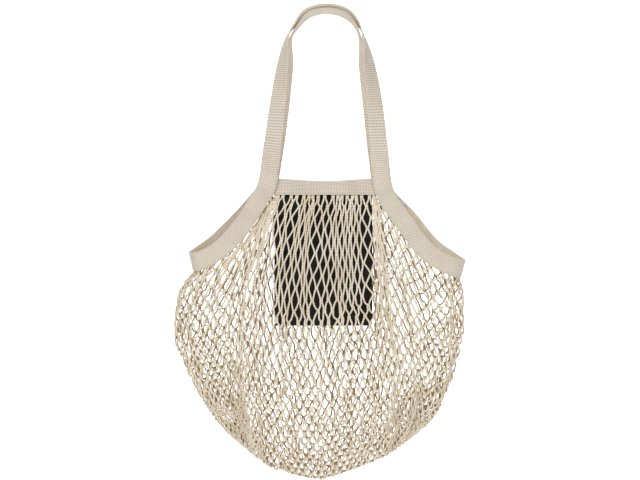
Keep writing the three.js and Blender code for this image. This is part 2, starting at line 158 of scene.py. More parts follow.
bag_middle = (0, 0, -0.33)
soft_lamp("key_lamp", (-0.9, -1.8, 1.1), bag_middle, 1.0, 22)
soft_lamp("fill_lamp", (1.3, -2.0, 0.3), bag_middle, 1.2, 12.5)
soft_lamp("paper_lamp", (0, 1.6, 2.6), (0, 3.6, -0.3), 2.4, 180)

# %% [markdown]
# ## Materials as sums
#
# A material is a graph of nodes, and most of those nodes are plain maths. `Wire` wraps one
# socket, and a sum on wires adds the Math nodes for it. `Finish` holds a material and makes
# every other node through one method: its type, its settings, then what its sockets get.

# %% Wires and finishes
class Wire:
    """A value that runs through a material."""

    def __init__(self, finish, socket):
        self.finish = finish
        self.socket = socket

    def maths(self, operation, *values):
        return self.finish.node("ShaderNodeMath", {"operation": operation}, values)

    def __add__(self, other):
        return self.maths("ADD", self, other)

    def __sub__(self, other):
        return self.maths("SUBTRACT", self, other)

    def __rsub__(self, other):
        return self.maths("SUBTRACT", other, self)

    def __mul__(self, other):
        return self.maths("MULTIPLY", self, other)

    def __truediv__(self, other):
        return self.maths("DIVIDE", self, other)

    __radd__ = __add__
    __rmul__ = __mul__

    def wave(self):
        return self.maths("SINE", self * math.pi)

    def size(self):
        return self.maths("ABSOLUTE", self)

    def whole(self):
        return self.maths("FLOOR", self)

    def larger(self, other):
        return self.maths("MAXIMUM", self, other)

    def rise(self, low, high):
        """0 below low, 1 above high, and a smooth rise between them."""
        settings = {"interpolation_type": "SMOOTHSTEP"}
        return self.finish.node("ShaderNodeMapRange", settings, [self, low, high, 0.0, 1.0])


class Finish:
    """A material, and the one method that adds its nodes."""

    def __init__(self, name, **constants):
        self.material = bpy.data.materials.new(name)
        self.material.use_nodes = True
        self.tree = self.material.node_tree
        self.shader = self.tree.nodes["Principled BSDF"]
        for socket, value in constants.items():
            self.shader.inputs[socket.replace("_", " ")].default_value = value

    def node(self, kind, settings=None, values=(), output=0):
        made = self.tree.nodes.new(kind)
        for name, value in (settings or {}).items():
            setattr(made, name, value)
        filled = values.items() if isinstance(values, dict) else enumerate(values)
        for name, value in filled:
            self.give(made.inputs[name], value)
        return Wire(self, made.outputs[output])

    def give(self, socket, value):
        if isinstance(value, Wire):
            self.tree.links.new(value.socket, socket)
        else:
            socket.default_value = value

    def place(self):
        return self.node("ShaderNodeTexCoord", output="Object")

    def cloth_place(self):
        """The piece's own flat coordinates, as u and v."""
        flat = self.node("ShaderNodeTexCoord", output="UV")
        return [self.node("ShaderNodeSeparateXYZ", None, [flat], output=i) for i in (0, 1)]

    def noise(self, scale, detail=2.0, where=None):
        where = where or self.place()
        values = {"Vector": where, "Scale": scale, "Detail": detail}
        return self.node("ShaderNodeTexNoise", None, values)

    def blend(self, share, first, second):
        """A colour between two others."""
        values = {0: share, 6: first, 7: second}
        return self.node("ShaderNodeMix", {"data_type": "RGBA"}, values, output=2)

    def relief(self, height, depth, strength=1.0):
        """Bump of that height, where 1 stands depth metres proud."""
        values = {"Strength": strength, "Distance": depth, "Height": height}
        bump = self.node("ShaderNodeBump", None, values)
        self.give(self.shader.inputs["Normal"], bump)

    def paint(self, tone):
        self.give(self.shader.inputs["Base Color"], tone)


def colour(red, green, blue):
    """A colour as a picture editor gives it, 0 to 255, for a shader."""
    shares = [c / 255 for c in (red, green, blue)]
    linear = [c / 12.92 if c < 0.04045 else ((c + 0.055) / 1.055) ** 2.4 for c in shares]
    return (*linear, 1.0)


def paper_finish():
    finish = Finish("white_paper", Roughness=0.9)
    grain = finish.noise(900.0)
    tone = finish.blend(grain, colour(250, 250, 250), colour(253, 253, 253))
    finish.paint(tone)
    return finish.material


paper.data.materials.append(paper_finish())
print("finish:", paper.data.materials[0].name, len(paper.data.materials[0].node_tree.nodes))

# %% [markdown]
# ## Where the straps run
#
# The solid of a strap is a row of rectangles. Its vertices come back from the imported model
# in no useful order, so the rectangles are found by their sides: a short edge as long as the
# webbing is thick, and a long one as long as it is wide. Walking from one rectangle to the
# next then gives the strap's course: its middle line, the direction across it and the
# direction out of its face.

# %% The rectangles of a strap
tape_width = 25 * mm
tape_thickness = 1.8 * mm
band_width = 22.5 * mm


def unit(vectors):
    return vectors / np.linalg.norm(vectors, axis=-1, keepdims=True)


def rectangles(node, width):
    """The corner numbers of each rectangle, the corners' places, and which are neighbours."""
    solid = bmesh.new()
    solid.from_mesh(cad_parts[node].data)
    bmesh.ops.remove_doubles(solid, verts=solid.verts, dist=1e-6)
    solid.verts.index_update()
    places = np.array([v.co for v in solid.verts])
    pairs = [[v.index for v in edge.verts] for edge in solid.edges]
    solid.free()

    def partners(size):
        found = {}
        for a, b in pairs:
            if abs(np.linalg.norm(places[a] - places[b]) - size) < 4e-6:
                found[a], found[b] = b, a
        return found

    beside, opposite = partners(tape_thickness), partners(width)
    rings, ring_of = [], {}
    for corner in range(len(places)):
        if corner not in ring_of:
            second = beside[corner]
            third = opposite[second]
            ring = [corner, second, third, beside[third]]
            ring_of.update({c: len(rings) for c in ring})
            rings.append(ring)
    near = [set() for _ in rings]
    for a, b in pairs:
        if ring_of[a] != ring_of[b]:
            near[ring_of[a]].add(ring_of[b])
            near[ring_of[b]].add(ring_of[a])
    return rings, places, near


def walk(near, first, second):
    order = [first, second]
    while True:
        ahead = [n for n in near[order[-1]] if n not in order[-2:] and n != order[0]]
        if not ahead:
            return order
        order.append(ahead[0])


def course(node, width, axis):
    """Middle and out of each rectangle, from the leftmost one on.

    The second one is its neighbour with the lowest x or y, as axis says, 0 or 1.
    """
    rings, places, near = rectangles(node, width)
    middles = np.array([places[ring].mean(axis=0) for ring in rings])
    first = int(np.argmin(middles[:, 0]))
    order = walk(near, first, min(near[first], key=lambda i: middles[i][axis]))
    middle = middles[order]
    out = np.array([places[rings[i][0]] - places[rings[i][1]] for i in order])
    for i in range(1, len(out)):
        out[i] *= 1 if out[i] @ out[i - 1] > 0 else -1
    return middle, unit(out)


# %% [markdown]
# The loop is walked from its leftmost rectangle towards the front, and a band from its left
# end. The direction out of the face could point either way, so it is turned outwards once.

# %% The tape's and the bands' courses
middle, out = course("webbing_loop", tape_width, 1)
rings_of_loop = len(middle)
out *= 1 if out[rings_of_loop // 4][2] > 0 else -1
along = unit(np.roll(middle, -1, axis=0) - np.roll(middle, 1, axis=0))
tape = {"middle": middle, "out": out, "across": unit(np.cross(along, out))}
tape_length = np.linalg.norm(np.roll(middle, -1, axis=0) - middle, axis=1).sum()
print("rectangles of the loop:", rings_of_loop, "length in mm:", round(tape_length / mm))


def band_course(node, face):
    """A band's course from the left handle to the right one. face is -1 at the front."""
    middle, out = course(node, band_width, 0)
    out *= 1 if out[len(out) // 2][1] * face > 0 else -1
    along = unit(np.gradient(middle, axis=0)) * -face
    return {"middle": middle, "out": out, "across": unit(np.cross(along, out))}


bands = {-1: band_course("front_band", -1), 1: band_course("back_band", 1)}
print("rectangles of a band:", len(bands[-1]["middle"]))

# %% [markdown]
# The rectangles give the course only at their own places. `between` reads it anywhere, on a
# smooth curve through them, so a strap can have as many cross cuts as its cloth needs.


# %% Between two rectangles
def between(rows, at, looped):
    """Rows of points read at any place, on a smooth curve through them."""
    count = len(rows)
    at = np.asarray(at, float)
    low = np.floor(at).astype(int)
    if not looped:
        low = np.clip(low, 0, count - 2)
    share = (at - low)[..., None]
    numbers = [low - 1, low, low + 1, low + 2]
    if looped:
        numbers = [n % count for n in numbers]
    a, b, c, d = [rows[np.clip(n, 0, count - 1)] for n in numbers]
    bend = (2 * a - 5 * b + 4 * c - d) * share**2 + (3 * b - a - 3 * c + d) * share**3
    return b + (c - a) * share / 2 + bend / 2


def strap_at(strap, at, looped):
    """Middle, across and out at any place along a strap."""
    centre, across, out = [between(strap[k], at, looped) for k in ("middle", "across", "out")]
    return centre, unit(across), unit(out)


print("crown of the front handle:", strap_at(tape, 72, True)[0].round(4))

# %% [markdown]
# ## The webbing
#
# The webbing is a flat cotton tape with a coarse weave. It could be one thick ribbon with
# sharp edges, but a woven edge is round. So it starts as a flat grid, as long as the loop and
# as wide as the way round the tape, and each vertex is carried to its place. The flat places
# stay on as UVs that count yarns, so the weave follows the tape through every turn.

# %% Woven tape
yarn_width = 2.05 * mm


def carried_grid(across, along, place, flat_size):
    """A flat grid whose vertices go to place(u, v), with flat places kept as UVs."""
    cloth = bmesh.new()
    bmesh.ops.create_grid(cloth, x_segments=across, y_segments=along, size=0.5)
    flat = np.array([v.co[:2] for v in cloth.verts]) + 0.5
    uv = cloth.loops.layers.uv.new("flat")
    placed, marks = place(flat[:, 0], flat[:, 1])
    for vert, point in zip(cloth.verts, placed):
        vert.co = point
    cloth.verts.index_update()
    for face in cloth.faces:
        for loop in face.loops:
            u, v = marks[loop.vert.index]
            loop[uv].uv = (u * flat_size[0], v * flat_size[1])
    return cloth


def run_along(line):
    """How far along a line each of its points is."""
    return np.cumsum([0, *np.linalg.norm(np.diff(line, axis=0), axis=1)])


def tape_section(width, u):
    """Offsets across and out of a tape with round edges. u goes once round it."""
    radius = tape_thickness / 2
    flat, curve = width - tape_thickness, math.pi * radius
    girth = 2 * (flat + curve)
    faces = np.linspace(-flat / 2, flat / 2, 6)
    turns = np.linspace(0, math.pi, 6)[1:-1]
    side = [(x, radius) for x in faces] + [
        (flat / 2 + radius * math.sin(a), radius * math.cos(a)) for a in turns
    ]
    points = np.array(side + [(-x, -o) for x, o in side] + side[:1])
    run = run_along(points)
    number = np.linspace(0, 1, len(points))
    share = np.interp(u, number, run / run[-1])
    return [np.interp(u, number, points[:, i]) for i in (0, 1)], share, girth


def woven_tape(name, strap, width, looped, steps):
    count = len(strap["middle"]) if looped else len(strap["middle"]) - 1

    def place(u, v):
        (across_by, out_by), share, _ = tape_section(width, u)
        centre, across, out = strap_at(strap, v * count, looped)
        placed = centre + across * across_by[:, None] + out * out_by[:, None]
        return placed, np.stack([share, v], axis=1)

    girth = tape_section(width, np.zeros(1))[2]
    length = tape_length if looped else run_along(strap["middle"])[-1]
    yarns = (round(girth / yarn_width), round(length / yarn_width))
    cloth = carried_grid(20, steps, place, yarns)
    bmesh.ops.remove_doubles(cloth, verts=cloth.verts, dist=1e-5)
    if not looped:
        ends = [e for e in cloth.edges if e.is_boundary]
        bmesh.ops.holes_fill(cloth, edges=ends, sides=0)
    bmesh.ops.recalc_face_normals(cloth, faces=cloth.faces)
    piece = as_object(name, cloth)
    print(name, "yarns across and along:", yarns, "faces:", len(piece.data.polygons))
    return piece


handles = woven_tape("woven_loop", tape, tape_width, True, 2 * rings_of_loop)
front_band = woven_tape("woven_front_band", bands[-1], band_width, False, 96)
back_band = woven_tape("woven_back_band", bands[1], band_width, False, 96)

# %% [markdown]
# The weave is a plain one: each lengthwise yarn passes over one crosswise yarn and under the
# next. One wave along each yarn makes it rise and dive, another across it makes it round, and
# the higher of the two yarns is what shows. Wherever both are low a pinhole is left, and
# painted shade darkens it there.
#
# `dress` says in one line which body a piece rides on, which part of the frame it stands for,
# and its finish.

# %% Cotton webbing
cotton = colour(235, 225, 209)
cotton_shade = colour(190, 172, 146)


def weave(u, v):
    """Height of a plain weave, 0 in its pinholes and 1 on its yarns, with u and v in yarns."""
    warp = u.wave().size() * (0.5 + 0.5 * (v + u.whole()).wave())
    weft = v.wave().size() * (0.5 - 0.5 * (u + v.whole()).wave())
    return warp.larger(weft)


def webbing_finish(name, pinhole_shade_share):
    finish = Finish(name, Roughness=0.92, Sheen_Weight=0.15)
    u, v = finish.cloth_place()
    height = weave(u, v)
    # painted shade in the weave's pinholes, where both yarns dive
    pinhole_shade = 1 - height.rise(0.15, 0.62)
    cloudy = finish.noise(38.0, 3.0)
    fleck = finish.noise(420.0, 1.0).rise(0.68, 0.76)
    plain = finish.blend(cloudy.rise(0.3, 0.7) * 0.35, cotton, colour(214, 201, 181))
    flecked = finish.blend(fleck * 0.35, plain, cotton_shade)
    # the pinholes are darkened towards brown: painted shade
    woven = finish.blend(pinhole_shade * pinhole_shade_share, flecked, colour(122, 102, 78))
    finish.paint(woven)
    finish.relief(height, 0.35 * mm, 0.8)
    return finish.material


def dress(piece, finish, node=None, body="bag"):
    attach(piece, body)
    if node:
        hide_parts(node)
    piece.data.materials.append(finish)


webbing = webbing_finish("cotton_webbing", 0.7)
band_webbing = webbing_finish("cotton_band_webbing", 0.8)  # its pinholes get darker painted shade
dress(handles, webbing, "webbing_loop")
dress(front_band, band_webbing, "front_band")
dress(back_band, band_webbing, "back_band")
print("webbing nodes:", len(webbing.node_tree.nodes))

# %% [markdown]
# ## The net
#
# The real net is knitted from one cotton yarn in long diamonds. Seen from close, it is a row
# of yarns that run down the bag in zigzags: each touches its left neighbour, lies beside it
# for a few millimetres, swings over to its right neighbour, and so on. That is also the
# easiest way to build it, because each yarn is one long tube.
#
# First comes the surface that the net lies on: a patch between the hem, the two side
# outlines and the bottom, pushed out into a belly.

# %% Named sizes of the net
net_width = 390 * mm
net_height = 381 * mm
net_depth = 104 * mm
band_bottom = -248.5 * mm
band_share = 3 / 7  # of the columns of a face, those that hang from its band
band_reach = 0.85  # of the band's length, out to the straps' inner edges
hem_show = 2 * mm
hem_tuck = 7 * mm
yarn_radius = 1.2 * mm
yarn_clearance = 0.3 * mm  # between a yarn and the cloth it lies on
band_end_room = 1.15 * mm  # extra room where a band's end lies behind the tape
belly_peak = 0.78  # the largest value of the belly's curve
stations_to_rings = 6  # rectangles of the loop in one station of its length
root_station = 7  # counted from a handle's crown to where it meets a band
tip_station = 12  # and on to the tip of a side loop

# Left and right shares of half the net's width, and the share of its height below the bands
net_outline = {
    "side": [(-0.995, 0.933, 0.315), (-1.052, 0.949, 0.449), (-0.985, 0.897, 0.6)],
    "low_side": [(-0.849, 0.782, 0.731)],
    "corner": [(-0.68, 0.618, 0.841)],
    "bottom": [(-0.497, 0.405, 0.919), (-0.312, 0.165, 0.969)],
    "lowest": [(-0.07, -0.07, 1.0)],
}


def mix(a, b, share):
    return a + (b - a) * share


def smooth(low, high, value):
    share = np.clip((value - low) / (high - low), 0, 1)
    return share * share * (3 - 2 * share)


def outline(side, *parts):
    rows = [row for part in parts for row in net_outline[part]]
    return [(row[side] * net_width / 2, 0, band_bottom - row[2] * net_height) for row in rows]


def read_rows(rows, run, at):
    """Rows of three numbers read at any place, where run gives the place of each row."""
    return np.stack([np.interp(at, run, rows[:, i]) for i in range(3)], axis=-1)


def smooth_line(points, count=400):
    """A smooth curve through a few points, given at even steps along its length."""
    points = np.array(points, float)
    ends = [2 * points[0] - points[1], 2 * points[-1] - points[-2]]
    points = np.concatenate([ends[:1], points, ends[1:]])
    knots = np.cumsum([0, *np.sqrt(np.linalg.norm(np.diff(points, axis=0), axis=1))])
    line = []
    for i in range(1, len(points) - 2):
        t = np.linspace(knots[i], knots[i + 1], 60)[:, None]
        a, b, c = [
            (points[j] * (knots[j + 1] - t) + points[j + 1] * (t - knots[j]))
            / (knots[j + 1] - knots[j])
            for j in (i - 1, i, i + 1)
        ]
        d = (a * (knots[i + 1] - t) + b * (t - knots[i - 1])) / (knots[i + 1] - knots[i - 1])
        e = (b * (knots[i + 2] - t) + c * (t - knots[i])) / (knots[i + 2] - knots[i])
        part = (d * (knots[i + 1] - t) + e * (t - knots[i])) / (knots[i + 1] - knots[i])
        line.append(part if i == 1 else part[1:])
    line = np.concatenate(line)
    run = run_along(line)
    return read_rows(line, run, np.linspace(0, run[-1], count))


def on_line(line, share):
    return read_rows(line, np.arange(len(line)), np.clip(share, 0, 1) * (len(line) - 1))


print("outline points:", {part: len(points) for part, points in net_outline.items()})

# %% [markdown]
# The net's upper edge is sewn behind the webbing. `hem` follows the band in the middle of a
# face and the tape on both sides of it.


# %% The hem behind the tape
def hem(s, face, across_by):
    """Points of the net's edge, behind the tape and the band. s is -1 to 1 from left to right."""
    s = np.asarray(s, float)
    band = bands[face]
    at = band_reach * np.clip(s / band_share, -1, 1)
    centre, across, out = strap_at(band, (at + 1) / 2 * (len(band["middle"]) - 1), False)
    behind = tape_thickness / 2 + yarn_radius + yarn_clearance
    on_band = centre + across * (band_width / 2 + across_by) - out * behind

    side = np.where(s < 0, -1, 1)
    down = np.clip((np.abs(s) - band_share) / (1 - band_share), 0, 1)
    station = -face * (tip_station + side * mix(root_station + 0.25, tip_station, down))
    centre, across, out = strap_at(tape, station * stations_to_rings, True)
    under_band = (1 - smooth(0.06, 0.4, down)) * (tape_thickness + band_end_room)
    reach = across * (tape_width / 2 + across_by)
    on_tape = centre + reach - out * (behind + under_band)[..., None]
    return np.where((np.abs(s) < band_share + 0.001)[..., None], on_band, on_tape)


left_line = smooth_line([hem(-1, -1, hem_show), *outline(0, "side", "low_side", "corner")])
right_line = smooth_line([hem(1, -1, hem_show), *outline(1, "side", "low_side", "corner")])
bottom_line = smooth_line(
    [
        *outline(0, "corner", "bottom", "lowest"),
        *reversed(outline(1, "corner", "bottom")),
    ]
)


def net_surface(s, v, face):
    """Points of the net's surface: s across from -1 to 1, v down from the hem to the bottom."""
    crowding = 0.5 * smooth(0, 0.35, v) + 0.4 * smooth(0.35, 0.7, v)
    t = ((mix(s, np.sin(s * math.pi / 2), crowding) + 1) / 2)[..., None]
    d = mix(v, np.sin(v * math.pi / 2), 0.5)[..., None]
    top = hem(s, face, hem_show)
    point = (
        top * (1 - d)
        + on_line(bottom_line, t[..., 0]) * d
        + on_line(left_line, d[..., 0]) * (1 - t)
        + on_line(right_line, d[..., 0]) * t
        - left_line[0] * (1 - t) * (1 - d)
        - right_line[0] * t * (1 - d)
        - bottom_line[0] * (1 - t) * d
        - bottom_line[-1] * t * d
    )
    t, d = t[..., 0], d[..., 0]
    rounded = np.sqrt(np.maximum(0, 4 * t * (1 - t)))
    belly = smooth(0, 0.62, d) * np.sqrt(np.maximum(0, 1 - d * d))
    out_by = face * net_depth * rounded * belly / 2 / belly_peak
    point[..., 1] = top[..., 1] * (1 - d) ** 1.5 + out_by
    return point


print("lowest point of the net:", net_surface(np.array([-0.07]), np.array([1.0]), -1).round(3))

# %% [markdown]
# Next come the knit points, where two yarns lie side by side. They sit on a grid of columns
# round the bag and rows down it. An even grid looks like a machine's drawing. On the real bag
# the yarns bunch under the bands, crowd towards the tips of the side loops, and sag and fold
# lower down. Smooth random waves over the grid give all of that, and the same seed gives the
# same bag each time.

# %% Knit points
columns = 84  # in each face
rows = 32
leg = 15.4 * mm  # yarn from one knit point to the next, where the net is taut
loose_leg = 20.4 * mm  # and where it is slack, because the knitting is loose there
seeds = np.random.default_rng(41)


def ripple(reach_columns, reach_rows):
    """A smooth random wave over the grid, about -1 to 1, that closes round the bag."""
    rough = seeds.standard_normal((2 * columns, 2 * (rows + 1)))
    by_column = np.fft.fftfreq(2 * columns)[:, None] * reach_columns
    by_row = np.fft.fftfreq(2 * (rows + 1))[None, :] * reach_rows
    keep = np.exp(-2 * math.pi**2 * (by_column**2 + by_row**2) / 2)
    wave = np.fft.ifft2(np.fft.fft2(rough) * keep).real[:, : rows + 1]
    return wave / wave.std()


def column_places():
    """s and v of every knit point. The grid's first index goes round, its second down."""
    number = np.arange(2 * columns)
    even = np.where(number <= columns, 2 * number / columns - 1, 3 - 2 * number / columns)
    outer = np.clip((np.abs(even) - band_share) / (1 - band_share), 0, 1)
    crowded = np.where(
        outer > 0,
        np.sign(even) * (band_share + (1 - band_share) * (1 - (1 - outer) ** 0.96)),
        even,
    )
    v = np.tile(np.arange(rows + 1) / rows, (2 * columns, 1))
    s = mix(crowded[:, None], even[:, None], smooth(0.0, 0.5, v))
    bunch = ripple(1.4, 7) * (1 - 0.6 * smooth(0.0, 0.6, v)) * 0.4 + ripple(1.0, 1.5) * 0.18
    step = 2 / columns
    edge = smooth(0.0, 0.08, 1 - np.abs(s))
    s = np.clip(s + bunch * step * edge, -1, 1)
    return s, v


def surface_of_grid(s, v):
    front = np.arange(2 * columns)[:, None] <= columns
    return np.where(
        np.broadcast_to(front, s.shape)[..., None],
        net_surface(s, v, -1),
        net_surface(s, v, 1),
    )


def grid_directions(s, v):
    """Unit directions on the surface: round the bag, down it, and out of it."""
    turn = np.where(np.arange(2 * columns) <= columns, 1, -1)[:, None]
    small = 0.03
    high, low = np.clip(s + small, -1, 1), np.clip(s - small, -1, 1)
    round_it = (surface_of_grid(high, v) - surface_of_grid(low, v)) * turn[..., None]
    down = surface_of_grid(s, np.clip(v + 0.02, 0, 1)) - surface_of_grid(
        s, np.clip(v - 0.02, 0, 1)
    )
    return unit(round_it), unit(down), unit(np.cross(down, round_it))


s_grid, v_grid = column_places()
knits = surface_of_grid(s_grid, v_grid)
round_way, down_way, out_way = grid_directions(s_grid, v_grid)
print("knit points:", knits.shape, "leftmost x:", knits[: columns + 1, :, 0].min().round(3))

# %% [markdown]
# The waves move the knit points out of the surface and along it. They fade at the hem and the
# bottom, and before the pouch the net is held clear of it.

# %% Folds and sags
fold_depth, crumple_depth = 3.2 * mm, 1.3 * mm
sag_depth, unevenness = 2.4 * mm, 0.8 * mm
slack = smooth(0.12, 0.6, v_grid)  # 0 where the net hangs taut under the bands
outer = np.clip((np.abs(s_grid) - band_share) / (1 - band_share), 0, 1)
slack = np.maximum(slack, smooth(0.1, 0.7, outer) * smooth(0.02, 0.2, v_grid))
thin = np.clip(np.abs(knits[..., 1]) / (10 * mm), 0.05, 1)  # small where front and back are close
rim = smooth(0.0, 0.06, v_grid) * smooth(0.0, 0.08, 1 - v_grid)

folds = ripple(2.2, 8) * fold_depth * slack + ripple(1.2, 1.6) * crumple_depth * (0.3 + slack)
sags = ripple(3.0, 2.5) * sag_depth * slack + ripple(0.9, 0.9) * unevenness * (0.3 + slack)
knits = knits + out_way * (folds * thin * rim)[..., None]
knits = knits + down_way * (sags * rim)[..., None]

mirrored = (2 * columns - np.arange(2 * columns)) % (2 * columns)
front_half = (np.arange(2 * columns) <= columns)[:, None]
knits[:, rows] = np.where(front_half, knits[:, rows], knits[mirrored, rows])

pouch_low, pouch_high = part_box("pouch")
in_front = (
    (knits[..., 0] > pouch_low[0] - 6 * mm)
    & (knits[..., 0] < pouch_high[0] + 6 * mm)
    & (knits[..., 2] > pouch_low[2] - 8 * mm)
    & np.broadcast_to(front_half, v_grid.shape)
    & (v_grid > 0.03)
)
clear_of_pouch = pouch_low[1] - 3.2 * mm
knits[..., 1] = np.where(in_front, np.minimum(knits[..., 1], clear_of_pouch), knits[..., 1])
print("knit points held before the pouch:", int(in_front.sum()))

# %% [markdown]
# Each yarn lives between two columns. At a knit point it runs straight down beside its
# neighbour, and on the way to the next one it bows, because the yarn is longer than the
# straight way. How far it bows follows from that spare length, so taut places stay straight
# and slack ones curl without any extra rule.

# %% Yarns of the net
knit_half = 1.6 * mm  # half the length along which two yarns lie side by side
yarn_gap = 1.1 * mm  # from a knit point to the middle of each of its two yarns
yarn_lift = 0.25 * mm  # one yarn of a pair lies this far out, the other this far in
largest_bow = 4.6 * mm
weight_pull = 0.45  # how strongly a slack yarn's bow turns downwards
leg_shares = (0, 0.22, 0.4, 0.6, 0.78, 1)  # where a yarn has points between two knit points
steps_per_leg = 1 + len(leg_shares)


def yarn_paths():
    """The path of every yarn, its surface directions and its thickness."""
    lane = np.arange(2 * columns)[:, None]
    row = np.arange(rows + 1)[None, :]
    lean = (lane + row) % 2
    column = (lane + lean) % (2 * columns)
    side = np.where(lean == 0, 1, -1)[..., None]
    over = np.where((lane + row // 2) % 2 == 0, 1, -1)[..., None] * yarn_lift
    normal = out_way[column, row]
    knit = knits[column, row] + round_way[column, row] * side * yarn_gap + normal * over * side
    down = down_way[column, row]
    start, end = knit + down * knit_half, knit - down * knit_half

    straight = end[:, 1:] - start[:, :-1]
    length = np.linalg.norm(straight, axis=-1)
    yarn_length = mix(leg, loose_leg, slack[column, row][:, :-1])
    spare = np.maximum(yarn_length - 2 * knit_half - length, 0.05 * mm)
    bow = np.minimum(np.sqrt(0.375 * length * spare), largest_bow)  # as high as a shallow arch
    shape = seeds.uniform(-1, 1, (4, *length.shape))
    flatways = np.cross(normal[:, :-1], unit(straight))
    pull = np.array([0, 0, -weight_pull])
    bow_way = flatways * shape[0][..., None] + normal[:, :-1] * shape[1][..., None] * 0.8
    bow_way = unit(bow_way + pull * spare[..., None] / (2 * mm))
    bow = bow * (0.45 + 0.4 * np.abs(shape[2]))
    twist = flatways * (shape[3] * np.minimum(spare / mm, 1.6) * 0.35 * mm)[..., None]

    parts = []
    for share in leg_shares:
        bent = bow_way * (bow * math.sin(math.pi * share))[..., None]
        waved = twist * math.sin(2 * math.pi * share)
        parts.append(start[:, :-1] + straight * share + bent + waved)
    legs = np.stack([knit[:, :-1], *parts], axis=2)
    path = legs.reshape(2 * columns, -1, 3)
    path = np.concatenate([path, knit[:, -1:]], axis=1)
    facing = np.repeat(normal[:, :-1], steps_per_leg, axis=1)
    facing = np.concatenate([facing, normal[:, -1:]], axis=1)
    return path, facing


paths, facings = yarn_paths()
front_paths = paths[:columns]
margin = 3 * mm
over_pouch = (
    (front_paths[..., 0] > pouch_low[0] - margin)
    & (front_paths[..., 0] < pouch_high[0] + margin)
    & (front_paths[..., 2] > pouch_low[2] - margin)
    & (front_paths[..., 2] < band_bottom - margin)
)
limit = pouch_low[1] - yarn_radius - yarn_clearance  # a yarn can lie on the pouch, not in it
front_paths[..., 1] = np.where(
    over_pouch, np.minimum(front_paths[..., 1], limit), front_paths[..., 1]
)
print("yarns:", len(paths), "points in each:", paths.shape[1])
print("yarn points before the pouch:", int(over_pouch.sum()))

# %% [markdown]
# A curve with a round bevel would make a tube too, but its UVs don't say how long it is, and
# the twist of the yarn needs that. So the rings of each tube are set along its path in code.


# %% Tubes along the yarns
def tuck_behind_tape(paths, facings):
    """Lengthens each yarn upwards, behind the tape, to the net's edge."""
    lane = np.arange(2 * columns)
    column = (lane + lane % 2) % (2 * columns)
    s = s_grid[column, 0]
    rises = []
    for across_by in (-hem_tuck, -hem_tuck / 2, -0.2 * mm):
        front, back = hem(s, -1, across_by), hem(s, 1, across_by)
        edge = np.where((column <= columns)[:, None], front, back)
        side = np.where(lane % 2 == 0, 1, -1)[:, None]
        rises.append(edge + round_way[column, 0] * side * yarn_gap)
    lead = np.stack(rises, axis=1)
    return np.concatenate([lead, paths], axis=1), np.concatenate(
        [np.repeat(facings[:, :1], 3, axis=1), facings], axis=1
    )


def yarn_tubes(name, paths, facings, radius, sides=7):
    """One mesh of closed tubes, with UVs that give the share round and the length along."""
    count, points = paths.shape[:2]
    ahead = unit(np.gradient(paths, axis=1))
    first = unit(np.cross(ahead, facings))
    second = np.cross(first, ahead)
    angle = np.linspace(0, 2 * math.pi, sides, endpoint=False)
    ring = (
        first[:, :, None] * np.cos(angle)[None, None, :, None]
        + second[:, :, None] * np.sin(angle)[None, None, :, None]
    )
    verts = paths[:, :, None] + ring * radius
    base = (np.arange(count)[:, None, None] * points + np.arange(points - 1)[:, None]) * sides
    corner = np.arange(sides)
    turned = (corner + 1) % sides
    quads = np.stack([base + corner, base + turned, base + turned + sides, base + corner + sides])
    quads = np.moveaxis(quads, 0, -1).reshape(-1, 4)
    tops = np.arange(count)[:, None] * points * sides + corner[::-1]
    tails = (np.arange(count)[:, None] * points + points - 1) * sides + corner

    run = np.cumsum(np.linalg.norm(np.diff(paths, axis=1), axis=-1), axis=1)
    run = np.concatenate([np.zeros((count, 1)), run], axis=1)
    low, high = run[:, :-1, None], run[:, 1:, None]
    share = np.broadcast_to(corner / sides, (count, points - 1, sides))
    step = 1 / sides
    marks = np.stack(
        [
            np.stack([share + a * step, np.broadcast_to(b, share.shape)], axis=-1)
            for a, b in ((0, low), (1, low), (1, high), (0, high))
        ],
        axis=3,
    ).reshape(-1, 2)

    mesh = bpy.data.meshes.new(name)
    faces = quads.tolist() + tops.tolist() + tails.tolist()
    mesh.from_pydata(verts.reshape(-1, 3).tolist(), [], faces)
    uv = mesh.uv_layers.new(name="flat")
    caps = np.zeros((2 * count * sides, 2))
    uv.data.foreach_set("uv", np.concatenate([marks, caps]).astype(np.float32).ravel())
    mesh.validate()
    mesh.shade_smooth()
    piece = bpy.data.objects.new(name, mesh)
    bpy.context.scene.collection.objects.link(piece)
    print(name, "triangles:", sum(len(p.vertices) - 2 for p in mesh.polygons))
    return piece


paths, facings = tuck_behind_tape(paths, facings)
half = columns // 2
net_yarns = []
for number, (name, node) in enumerate(
    [
        ("front_yarns_left", "net_front"),
        ("front_yarns_right", "net_front"),
        ("back_yarns_right", "net_back"),
        ("back_yarns_left", "net_back"),
    ]
):
    own = slice(number * half, (number + 1) * half)
    net_yarns.append((yarn_tubes(name, paths[own], facings[own], yarn_radius), node))
